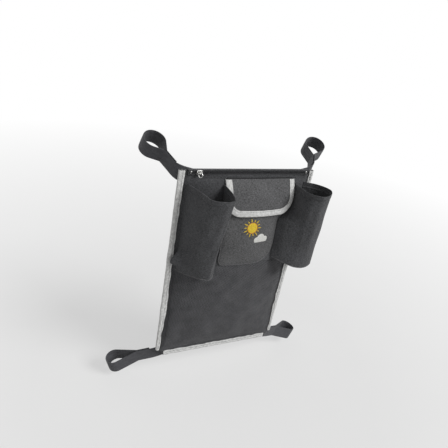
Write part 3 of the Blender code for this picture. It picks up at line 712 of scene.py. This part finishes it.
def satin_patch(name, x, z, edge, height, finish):
    """A crowned patch: shrinking copies of its edge, s times as far out, raised by the root of 1 - s^4."""
    s = np.linspace(1, 0.03, 22)[:, None]
    px = x + edge * s * np.cos(AROUND)
    pz = z + edge * s * np.sin(AROUND)
    py = -(pocket_depth(px, pz) + CLOTH + height * (1 - s**4) ** 0.5 - 0.0003)
    return fasten(sewn_mesh(name, np.stack([px, py, pz], -1), finish, round_u=True), "cloth")


def cloud_edge(angle):
    """How far the outline of three joined circles lies from their middle, cut level below."""
    reach = []
    for x, z, radius in CLOUD_CIRCLES:
        facing = x * np.cos(angle) + z * np.sin(angle)
        reach.append(facing + np.sqrt(np.maximum(radius**2 - x * x - z * z + facing**2, 0.0)))
    return np.minimum(np.maximum.reduce(reach), 0.0066 / np.maximum(-np.sin(angle), 0.05))


satin_patch("embroidered_sun", SUN_X, SUN_Z, np.full(AROUND.shape, SUN_RADIUS), 0.0011, yellow_silk)
satin_patch("embroidered_cloud", CLOUD_X, CLOUD_Z, cloud_edge(AROUND), 0.0012, white_silk)
angle = np.linspace(0, 2 * math.pi, 91)[:-1]
px, pz = SUN_X + SUN_RADIUS * np.cos(angle), SUN_Z + SUN_RADIUS * np.sin(angle)
path = np.stack([px, -(pocket_depth(px, pz) + CLOTH + 0.0003), pz], -1)
rim = tube(path, 0.0007, 0.0006, (0.0, 1.0, 0.0), 8, closed=True)
fasten(sewn_mesh("embroidered_sun_edge", rim, orange_silk, round_u=True, round_v=True), "cloth")
angle = (np.arange(RAYS) / RAYS * 2 * math.pi)[:, None]
share = np.linspace(0, 1, 9)
length = np.where(np.arange(RAYS) % 2 == 0, LONG_RAY, SHORT_RAY)[:, None]
radius = SUN_RADIUS + 0.0021 + length * share
px, pz = SUN_X + radius * np.cos(angle), SUN_Z + radius * np.sin(angle)
path = np.stack([px, -(pocket_depth(px, pz) + CLOTH + 0.0001), pz], -1)
flat = np.stack([-np.sin(angle) + 0 * share, 0 * angle * share, np.cos(angle) + 0 * share], -1)
rays = tube(path, 0.0015 * (1 - share**1.5 * 0.8), 0.0006 + 0 * share, flat, 8)
fasten(sewn_mesh("embroidered_rays", rays, yellow_silk, round_u=True), "cloth")


# Flap of the centre pocket: a stiffer piece of the same cloth, its colour painted lighter as painted
# light, sewn down along its top and taped shut. Its side and bottom edges are bound with silver tape,
# and touch tape holds it.
FLAP_X = 0.0222
FLAP_HALF = 0.0762
FLAP_TOP = 0.4240
FLAP_BOTTOM = 0.3580
FLAP_CORNER = 0.0310
FLAP_SEAM, FLAP_ARCH = 0.0020, 0.0119
FLAP_BINDING_WIDTH = 0.0108
FLAP_BINDING_RUN = 0.28
FLAP_TAPE = 0.0007
FLAP_TAPE_STAND_OFF = 0.0017


def flap_depth(x, z):
    """The flap's inner face: it leaves the front cloth at the seam, and arches as the root of 1 - reach^4."""
    reach = np.minimum(np.abs(x - FLAP_X) / (FLAP_HALF * 1.12), 1.0)
    arch = (1 - reach**4) ** 0.5
    ramp = smooth_step((FLAP_TOP - z) / 0.035)
    soft = 0.0004 * crumple(x, z, 0.045, 12) * ramp
    return front_depth(x, z) + FLAP_SEAM + (FLAP_ARCH - FLAP_SEAM) * arch * ramp + soft


def u_outline(share, middle, half, bottom, top, corner, inset=0.0):
    """x, z and the inward direction's two parts along a U: straight, quarter circle, level, and back up."""
    half, bottom, corner = half - inset, bottom + inset, corner - inset
    straight, arc, level = top - bottom - corner, corner * math.pi / 2, 2 * (half - corner)
    travel = share * (2 * straight + 2 * arc + level)
    side = np.where(travel > straight + arc + level / 2, -1.0, 1.0)
    travel = np.where(side < 0, 2 * straight + 2 * arc + level - travel, travel)
    angle = np.clip((travel - straight) / corner, 0.0, math.pi / 2)
    slide = np.maximum(travel - straight - arc, 0.0)
    x = -half + corner * (1 - np.cos(angle)) + slide
    z = top - np.minimum(travel, straight) - corner * np.sin(angle)
    return middle + side * x, z, side * np.cos(angle), np.sin(angle)


# The same cloth with its colour painted lighter: painted light on the flap, which faces up.
lit_flap_cloth = charcoal_cloth("lit_flap_cloth", (0.098, 0.098, 0.101), creasing=0.8)
z = mix(FLAP_BOTTOM, FLAP_TOP, (1 - np.cos(np.linspace(0, 1, 70) * math.pi)) / 2)[:, None]
half = rounded_half(z, FLAP_BOTTOM, FLAP_HALF, FLAP_CORNER)
x = FLAP_X + np.sin(np.linspace(-0.5, 0.5, 120) * math.pi) * half
z = np.broadcast_to(z, x.shape)
points = np.stack([x, -flap_depth(x, z), z], -1)
flap = thicken(sewn_mesh("lit_flap_cloth", points, lit_flap_cloth), CLOTH, 1)
fasten(flap, "cloth", "pocket_flap")

share = np.linspace(0, 1, 280)[:, None]
run = share * FLAP_BINDING_RUN
x, z, in_x, in_z = u_outline(share, FLAP_X, FLAP_HALF, FLAP_BOTTOM, FLAP_TOP - 0.0005, FLAP_CORNER)
leg = np.linspace(0, 1, 12)
turn = np.linspace(0.5, -0.5, 9)[1:-1] * math.pi
inward = np.concatenate([leg[::-1] * FLAP_BINDING_WIDTH, -np.cos(turn) * 0.0016, leg * FLAP_BINDING_WIDTH])
face = np.concatenate([np.full(12, -1.0), -np.sin(turn), np.full(12, 1.0)])
level = np.clip(inward / FLAP_BINDING_WIDTH, 0.0, 1.0)
ripple = crumple(run, inward * 2, 0.012, 41)
puff = FLAP_TAPE * np.sin(level * math.pi) ** 0.6 - FLAP_TAPE * bell(level, 0.72, 0.10)
puff = puff * np.maximum(face, 0.0) * (1 + 0.6 * ripple)
inward = inward + 0.0004 * level * crumple(run, 0.0, 0.025, 42)
px, pz = x + inward * in_x, z + inward * in_z
py = -(flap_depth(px, pz) + 0.00066 + face * (FLAP_TAPE_STAND_OFF + puff))
points = np.stack([px, py, pz], -1)
uv = np.stack([np.broadcast_to(inward, px.shape), np.broadcast_to(run, px.shape)], -1)
flap_tape = sewn_mesh("flap_tape", points, silver_tape, uv)
fasten(thicken(flap_tape, FLAP_TAPE, 0), "silver_binding", "flap_binding")
share = np.linspace(0, 1, 260)
x, z, _, _ = u_outline(share, FLAP_X, FLAP_HALF, FLAP_BOTTOM, FLAP_TOP - 0.002, FLAP_CORNER, 0.0078)
path = np.stack([x, -(flap_depth(x, z) + 0.0026), z], -1)
stitch_row("flap_stitches", path, (0.0, -1.0, 0.0), grey_thread)
line = np.linspace(-0.066, 0.066, 150)
x = FLAP_X + line
z = np.full(line.shape, FLAP_TOP - 0.0030)
path = np.stack([x, -(flap_depth(x, z) + CLOTH + 0.0002), z], -1)
stitch_row("flap_seam_stitches", path, (0.0, -1.0, 0.0), dark_thread)

# A near-black cord along the flap's top seam is painted shade: it stands for the dark gap there.
x = FLAP_X + line * 1.14
z = np.full(line.shape, FLAP_TOP + 0.0007)
path = np.stack([x, -(front_depth(x, z) + 0.0014), z], -1)
seam_shade = Finish("seam_shade_cord", 0.9)
threads = seam_shade.noise((900.0, 500.0, 500.0))
seam_shade.coat(seam_shade.shade(threads, (0.006, 0.006, 0.007), (0.020, 0.020, 0.022)), threads, 0.0002)
rings = tube(path, 0.0011, 0.0009, (0.0, 0.0, 1.0), 8)
fasten(sewn_mesh("flap_seam_shade_cord", rings, seam_shade, round_u=True), "cloth")

TOUCH_TAPE = 0.0007
touch = Finish("touch_tape_pile", 0.95, sheen=0.3)
pile = touch.noise((1600.0, 1600.0, 1600.0), 3.0).between(0.3, 0.7)
touch.coat(touch.shade(pile, (0.010, 0.010, 0.011), (0.040, 0.040, 0.044)), pile, 0.0005)
x, z = np.meshgrid(CENTRE_X + np.linspace(-0.030, 0.030, 40), 0.3805 + np.linspace(-0.008, 0.008, 12))
points = np.stack([x, -(pocket_depth(x, z) + CLOTH * 1.1 + 0.0003), z], -1)
loop_tape = sewn_mesh("pocket_touch_tape", points, touch)
fasten(thicken(loop_tape, TOUCH_TAPE, 1), "touch_tape", "pocket_loop_tape")
points = np.stack([x, -(flap_depth(x, z) - 0.0003), z], -1)
hook_tape = sewn_mesh("flap_touch_tape", points, touch)
fasten(thicken(hook_tape, TOUCH_TAPE, -1), "touch_tape", "flap_hook_tape")


# Bottle pockets: one wide wall each, sewn to the front cloth along two upright seams, open above,
# with a hemmed rim and a flat base. The left wall's foot bellies over the side binding.
SEAM_X = 0.1285
SEAM_GAP = 0.0011
RIM = 0.4145
HEM_LINE = 0.0105
BELLY_Z, BELLY_DEPTH = 0.2530, 0.0180
BASE_LEVEL = 0.012
BASE_INSET = 0.0009
# base and rim: outlines as distances in from the outer seam and forward of the back, along the wall.
# slant: the heights between which the inner part leans from one to the other. folds: place along the
# wall, half width, and how far the cloth stands out.
POCKETS = {
    "left": {
        "side": -1,
        "bottom": 0.2300,
        "inner_rise": 0.0,
        "slant": (0.3000, 0.3600),
        "folds": ((0.33, 0.030, 0.0014), (0.48, 0.075, -0.0026), (0.63, 0.022, 0.0017)),
        "base": (
            (0.0000, 0.0000), (0.0015, 0.0130), (0.0085, 0.0240), (0.0180, 0.0335),
            (0.0280, 0.0425), (0.0380, 0.0500), (0.0475, 0.0550), (0.0530, 0.0545),
            (0.0600, 0.0490), (0.0650, 0.0405), (0.0715, 0.0000),
        ),
        "rim": (
            (0.0000, 0.0000), (0.0060, 0.0270), (0.0120, 0.0500), (0.0160, 0.0720),
            (0.0260, 0.0850), (0.0400, 0.0900), (0.0540, 0.0850), (0.0630, 0.0735),
            (0.0665, 0.0590), (0.0685, 0.0430), (0.0700, 0.0000),
        ),
    },
    "right": {
        "side": 1,
        "bottom": 0.2390,
        "inner_rise": 0.0160,
        "slant": (0.3320, 0.3690),
        "folds": ((0.36, 0.035, 0.0016), (0.50, 0.070, -0.0020), (0.63, 0.040, 0.0014)),
        "base": (
            (0.0000, 0.0000), (-0.0165, 0.0095), (-0.0325, 0.0140), (-0.0445, 0.0240),
            (-0.0465, 0.0380), (-0.0355, 0.0510), (-0.0145, 0.0600), (0.0095, 0.0590),
            (0.0285, 0.0510), (0.0435, 0.0410), (0.0545, 0.0000),
        ),
        "rim": (
            (0.0000, 0.0000), (-0.0115, 0.0120), (-0.0225, 0.0190), (-0.0350, 0.0365),
            (-0.0340, 0.0560), (-0.0225, 0.0710), (-0.0040, 0.0770), (0.0145, 0.0710),
            (0.0240, 0.0560), (0.0240, 0.0400), (0.0240, 0.0000),
        ),
    },
}


def smooth_curve(knots, share):
    """The Catmull-Rom curve through the knots, which are stacked on the first axis."""
    last = len(knots) - 1
    place = np.clip(share, 0.0, 1.0) * last
    index = np.minimum(place.astype(int), last - 1)
    t = place - index
    p, q, r, s = (
        np.take_along_axis(knots, np.clip(index + step, 0, last)[None], 0)[0] for step in (-1, 0, 1, 2)
    )
    return 0.5 * (2 * q + (r - p) * t + (2 * p - 5 * q + 4 * r - s) * t**2 + (3 * q - p - 3 * r + s) * t**3)


def outline_place(pocket, level, z, share):
    """x and y on a pocket's base or rim outline, whose two ends lie on the front cloth."""
    inward, forward = np.array(pocket[level]).T[:, :, None, None]
    x = pocket["side"] * (SEAM_X - inward) + 0 * z
    y = -forward + 0 * z
    for end in (0, -1):
        y[end] = -(front_depth(x[end], z) + SEAM_GAP)
    return smooth_curve(x, share), smooth_curve(y, share)


def pocket_wall(pocket, along, height):
    """The wall's inner face: base and rim outlines mixed by height, and never behind the front cloth."""
    bottom = pocket["bottom"] + pocket["inner_rise"] * smooth_step((along - 0.6) / 0.4)
    z = mix(bottom, RIM, height)
    low, high = pocket["slant"]
    lean = mix(height, smooth_step((z - low) / (high - low)), smooth_step((along - 0.6) / 0.28))
    low_x, low_y = outline_place(pocket, "base", z, along)
    high_x, high_y = outline_place(pocket, "rim", z, along)
    x, y = mix(low_x, high_x, lean), mix(low_y, high_y, lean)
    return np.stack([x, np.minimum(y, -(front_depth(x, z) + SEAM_GAP)), z], -1)


def outward(points):
    """Unit normals of a grid, on its columns x rows side."""
    return unit(np.cross(np.gradient(points, axis=1), np.gradient(points, axis=0)))


wall_cloth = charcoal_cloth("wall_cloth", CLOTH_COLOUR, creasing=1.4)
height = np.concatenate([np.linspace(0, 0.92, 100)[:-1], np.linspace(0.92, 1, 40)])[:, None]
along = np.linspace(0, 1, 190)[None]
for name, pocket in POCKETS.items():
    side = pocket["side"]
    share = (along if side < 0 else along[:, ::-1]) + 0 * height
    rise = height + 0 * share
    points = pocket_wall(pocket, share, rise)
    z = points[..., 2]

    # How far the wall stands out: two sets of soft creases, the upright folds, and the hem's groove.
    free = np.sin(np.clip(share, 0, 1) * math.pi) ** 0.5
    push = 0.0008 * crumple(share * 0.2, z, 0.06, 50 + side) * free
    push += 0.0007 * crumple(share * 0.6, z, 0.09, 60 + side) * free * np.sin(rise * math.pi)
    grows = np.sin(np.clip(rise * 1.1, 0, 1) * math.pi / 2)
    for at, width, depth in pocket["folds"]:
        push += depth * bell(share, at, width) * grows
    hem = smooth_step((z - RIM + 0.0100) / 0.0012)
    push += 0.00045 * hem - 0.0005 * bell(z - RIM, -HEM_LINE, 0.0011)
    points = points + outward(points) * push[..., None]

    # The left wall's belly over the side binding, short below its widest height and long above it.
    if side < 0:
        tall = np.where(z > BELLY_Z, 0.0190, 0.0095)
        belly = bell(z, BELLY_Z, tall) * np.sin(np.clip(share / 0.17, 0, 1) * math.pi) ** 2
        points[..., 0] -= BELLY_DEPTH * belly
        points[..., 1] -= 0.0010 * belly
    points[..., 1] = np.minimum(points[..., 1], -(front_depth(points[..., 0], z) + SEAM_GAP))
    wall = thicken(sewn_mesh(name + "_pocket_wall", points, wall_cloth), CLOTH, 1)
    fasten(wall, "cloth", name + "_bottle_pocket")

    normal = outward(points)
    foot = points[0] + normal[0] * CLOTH * 0.6 + (0.0, 0.0, 0.0002)
    # The foot's cording in the paler cloth is a painted highlight along the wall's bottom edge.
    cord = tube(foot[2:-2], 0.0009, 0.0009, (0.0, 0.0, 1.0), 8)
    fasten(sewn_mesh(name + "_pocket_foot_cording", cord, highlight_edge_cloth, round_u=True), "cloth")
    row = int(np.argmin(np.abs(z[:, 90] - RIM + HEM_LINE)))
    path = points[row] + normal[row] * (CLOTH + 0.0001)
    stitch_row(name + "_pocket_rim_stitches", path, normal[row], dark_thread)

    # The base: rows between the wall's foot, a little inside it, and the front cloth behind.
    front_edge = pocket_wall(pocket, mix(0.05, 0.95, share[:1]), BASE_LEVEL + 0 * share[:1])[0]
    ahead = unit(np.gradient(front_edge, axis=0))
    front_edge = front_edge - np.stack([ahead[:, 1], -ahead[:, 0], 0 * ahead[:, 0]], -1) * BASE_INSET
    ends = [pocket_wall(pocket, np.array([[at]]), np.array([[BASE_LEVEL]]))[0, 0, 0] for at in (0.0, 1.0)]
    rear_x = mix(ends[0], ends[1], mix(0.06, 0.94, share[0]))
    rear_y = -(front_depth(rear_x, front_edge[:, 2]) + BASE_INSET)
    rear = np.stack([rear_x, rear_y, front_edge[:, 2]], -1)
    floor_rows = mix(front_edge, rear, np.linspace(0, 1, 8)[:, None, None])
    base = thicken(sewn_mesh(name + "_pocket_base", floor_rows, wall_cloth), CLOTH, 1)
    fasten(base, "cloth", name + "_bottle_base")


# Straps: four lengths of 30 mm polypropylene webbing. Each is sewn flat to the back of a corner with
# a boxed cross, leaves it, makes an open loop, and comes back to close on itself with touch tape.
STRAP_WIDTH = 0.0300
STRAP_THICKNESS = 0.0014
TAB_LENGTH = 0.0380
SHUT_LENGTH = 0.0400
SHUT_OVERLAP = 0.0300
# corner: x and z where the strap leaves the panel. width: the way that its width runs round the loop.
# tab: the way that its sewn end runs over the panel.
STRAPS = {
    "upper": {
        "corner": (0.1505, 0.4325),
        "loop_centre": (0.1810, 0.0600, 0.4640),
        "loop_radius": 0.0200,
        "width": (0.0, -0.25, 0.968),
        "tab": (-0.97, 0.0, -0.24),
    },
    "lower": {
        "corner": (0.1435, 0.0010),
        "loop_centre": (0.2240, 0.0300, -0.0260),
        "loop_radius": 0.0165,
        "width": (0.0, -0.10, 0.995),
        "tab": (-0.84, 0.0, 0.54),
    },
}

webbing = Finish("webbing", 0.62, sheen=0.15)
ribs = webbing.along.wave(0.0024) * 0.5 + 0.5
cords = webbing.across.wave(0.0030) * 0.5 + 0.5
herring = (webbing.along + webbing.across * 0.6).wave(0.0020) * 0.5 + 0.5
worn = webbing.noise((200.0, 90.0, 90.0), 3.0).between(0.3, 0.7)
webbing.coat(
    webbing.shade(herring * 0.35 + ribs * 0.25 + worn * 0.4, (0.026, 0.026, 0.030), (0.086, 0.087, 0.096)),
    ribs * 0.4 + cords * 0.2 + herring * 0.4,
    0.0006,
)


def strap_run(strap, side):
    """A strap's path, the direction of its width along it, and the frames of its closed part and tab.

    The path is a sewn tab, a short bend, a straight run, an arc round the loop's centre, and a
    straight way back. The bend is smoothed three times with weights of 1, 2 and 1."""
    corner, centre = strap["corner"], strap["loop_centre"]
    behind = BINDING_THICKNESS + 0.0006 + STRAP_THICKNESS / 2
    sewn = np.array([side * corner[0], behind, corner[1]])
    leave = sewn + (0.0, 0.0038, 0.0)
    centre = np.array([side * centre[0], centre[1], centre[2]])
    tab = unit(np.array(strap["tab"]) * (side, 1, 1))
    run = unit(leave - centre)
    width = np.array(strap["width"])
    width = unit(width - run * (width @ run))
    cross = np.cross(width, run)
    cross = -cross if cross[1] > 0 else cross
    radius = strap["loop_radius"] + STRAP_THICKNESS
    shut = leave - run * SHUT_LENGTH
    gap = STRAP_THICKNESS + 2 * TOUCH_TAPE + 0.0009
    back = shut - cross * gap
    tab_width = np.array([-tab[2], 0.0, tab[0]])
    tab_width = -tab_width if tab_width @ width < 0 else tab_width

    def touching(point, sign):
        """The angle where the line from a point meets the loop."""
        seen = point - centre
        return math.atan2(seen @ cross, seen @ run) + sign * math.acos(radius / np.linalg.norm(seen))

    angle = np.linspace(touching(shut, 1), touching(back, -1) + 2 * math.pi, 61)[:, None]
    tab_part = sewn + tab * TAB_LENGTH * (1 - np.linspace(0, 0.75, 10))[:, None]
    shut_part = mix(leave - run * 0.0100, shut, np.linspace(0, 1, 14)[:, None])
    loop_part = centre + (run * np.cos(angle) + cross * np.sin(angle)) * radius
    back_part = mix(back, back + run * SHUT_OVERLAP, np.linspace(0, 1, 14)[:, None])
    bend = (leave - run * 0.0020)[None]
    path = np.concatenate([tab_part, bend, shut_part, loop_part[1:], back_part[1:]])
    turn = np.concatenate([np.zeros(10), [0.5], np.ones(len(path) - 11)])
    for _ in range(3):
        path[6:18] = (path[5:17] + 2 * path[6:18] + path[7:19]) / 4
        turn[6:18] = (turn[5:17] + 2 * turn[6:18] + turn[7:19]) / 4
    return {
        "path": path,
        "widths": unit(mix(tab_width, width, turn[:, None])),
        "shut": (shut_part, cross, width, gap),
        "tab": (sewn, tab, tab_width),
    }


box_across = np.array([0, 1, 1, 0, 0, 1, 1, 0]) * 0.022 + 0.012
box_up = np.array([-1, -1, 1, 1, -1, 1, -1, 1]) * 0.0115
angle = np.arange(28) / 28 * 2 * math.pi
place = signed_power(np.cos(angle), 0.45) * STRAP_WIDTH / 2
for level, sizes in STRAPS.items():
    for side_name, side in SIDES:
        name = f"{level}_{side_name}"
        strap = strap_run(sizes, side)
        path = strap["path"]
        rings = tube(path, STRAP_WIDTH / 2, STRAP_THICKNESS / 2, strap["widths"], 28, square=0.45)
        uv = np.stack(np.broadcast_arrays(place[None], travelled(path)[:, None]), -1)
        fasten(sewn_mesh(name + "_webbing", rings, webbing, uv, round_u=True), "webbing", name + "_strap")

        shut_part, cross, width, gap = strap["shut"]
        off = STRAP_THICKNESS / 2 + 0.0003 + TOUCH_TAPE / 2
        for kind, inward in (("loop", off), ("hook", gap - off)):
            rings = tube(shut_part - cross * inward, 0.0135, TOUCH_TAPE / 2, width, 20, square=0.4)
            piece = sewn_mesh(f"{name}_{kind}_touch", rings, touch, round_u=True)
            fasten(piece, "touch_tape", f"{name}_{kind}_tape")

        sewn, tab, tab_width = strap["tab"]
        corners = sewn + tab * box_across[:, None] + tab_width * box_up[:, None] + (0.0, 0.00075, 0.0)
        fine = np.linspace(0, len(corners) - 1, 400)
        path = read_off(fine, np.arange(len(corners)), corners)
        stitch_row(name + "_box_stitches", path, (0.0, 1.0, 0.0), grey_thread)


# Stage: a plain pale floor a little below the straps, which fades to white far off, soft daylight
# all round, and one broad lamp high on the right that shades the pockets' left sides.
FLOOR_Z, FLOOR_REACH = -0.062, 40
floor_mesh = bpy.data.meshes.new("floor")
corners = [(FLOOR_REACH * x, FLOOR_REACH * y, FLOOR_Z) for x, y in ((-1, -1), (1, -1), (1, 1), (-1, 1))]
floor_mesh.from_pydata(corners, [], [(0, 1, 2, 3)])
floor_finish = Finish("pale_floor", 0.9, laid_by="place")
grain = floor_finish.noise((9.0, 9.0, 9.0), 3.0)
floor_finish.coat(floor_finish.shade(grain, (0.50, 0.50, 0.50), (0.53, 0.53, 0.525)), grain, 0.0002)
ground = floor_finish.node("TexCoord", output=3)
distance = floor_finish.node("VectorMath", {"operation": "LENGTH"}, {0: ground}, 1)
seen = floor_finish.node("LightPath", output=0)
white = floor_finish.node("Emission", {}, {"Color": (1.0, 1.0, 1.0, 1.0), "Strength": 1.0})
plain = Wire(floor_finish, floor_finish.shader.outputs[0])
fade = distance.between(0.4, 2.0, 0.52, 1.0) * seen
faded = floor_finish.node("MixShader", {}, {0: fade, 1: plain, 2: white})
floor_finish.put(floor_finish.tree.nodes["Material Output"].inputs["Surface"], faded)
floor_mesh.materials.append(floor_finish.material)
floor = bpy.data.objects.new("floor", floor_mesh)
bpy.context.scene.collection.objects.link(floor)

DAYLIGHT = 0.46
world = bpy.data.worlds.new("daylight")
world.use_nodes = True
bpy.context.scene.world = world
sky = Nodes(world.node_tree)
direct = sky.node("LightPath", output=0) + sky.node("LightPath", output=3)
background = world.node_tree.nodes["Background"]
sky.put(background.inputs["Color"], (1.0, 1.0, 1.0, 1.0))
sky.put(background.inputs["Strength"], direct.between(0.0, 1.0, DAYLIGHT, 1.0))


def lamp(name, strength, angle, towards):
    """A distant lamp that shines from a direction, broad enough for soft shadows."""
    light = bpy.data.lights.new(name, "SUN")
    light.energy = strength
    light.angle = angle
    made = bpy.data.objects.new(name, light)
    made.rotation_euler = Vector(towards).to_track_quat("Z", "Y").to_euler()
    bpy.context.scene.collection.objects.link(made)


lamp("broad_lamp", 2.35, 0.45, (0.58, -0.64, 0.74))


# Camera: from the left and above, with the picture turned a little, as the photograph was taken.
AZIMUTH, ELEVATION, ROLL = math.radians(-29.6), math.radians(26.3), math.radians(-10.9)
back = Vector(
    (
        math.sin(AZIMUTH) * math.cos(ELEVATION),
        -math.cos(AZIMUTH) * math.cos(ELEVATION),
        math.sin(ELEVATION),
    )
)
level = Vector((math.cos(AZIMUTH), math.sin(AZIMUTH), 0.0))
rise = back.cross(level)
TARGET, DISTANCE = (-0.0355, 0.0, 0.3223), 0.902
FILM = 36.0
camera_data = bpy.data.cameras.new("camera")
camera_data.sensor_width = FILM
camera_data.lens = 450 / 448 * FILM
camera = bpy.data.objects.new("camera", camera_data)
screen_right = level * math.cos(ROLL) - rise * math.sin(ROLL)
screen_up = level * math.sin(ROLL) + rise * math.cos(ROLL)
eye = Vector(TARGET) + back * DISTANCE
turned = Matrix((screen_right, screen_up, back)).transposed().to_4x4()
camera.matrix_world = Matrix.Translation(eye) @ turned
bpy.context.scene.collection.objects.link(camera)
bpy.context.scene.camera = camera
bpy.context.scene.view_settings.view_transform = "Standard"
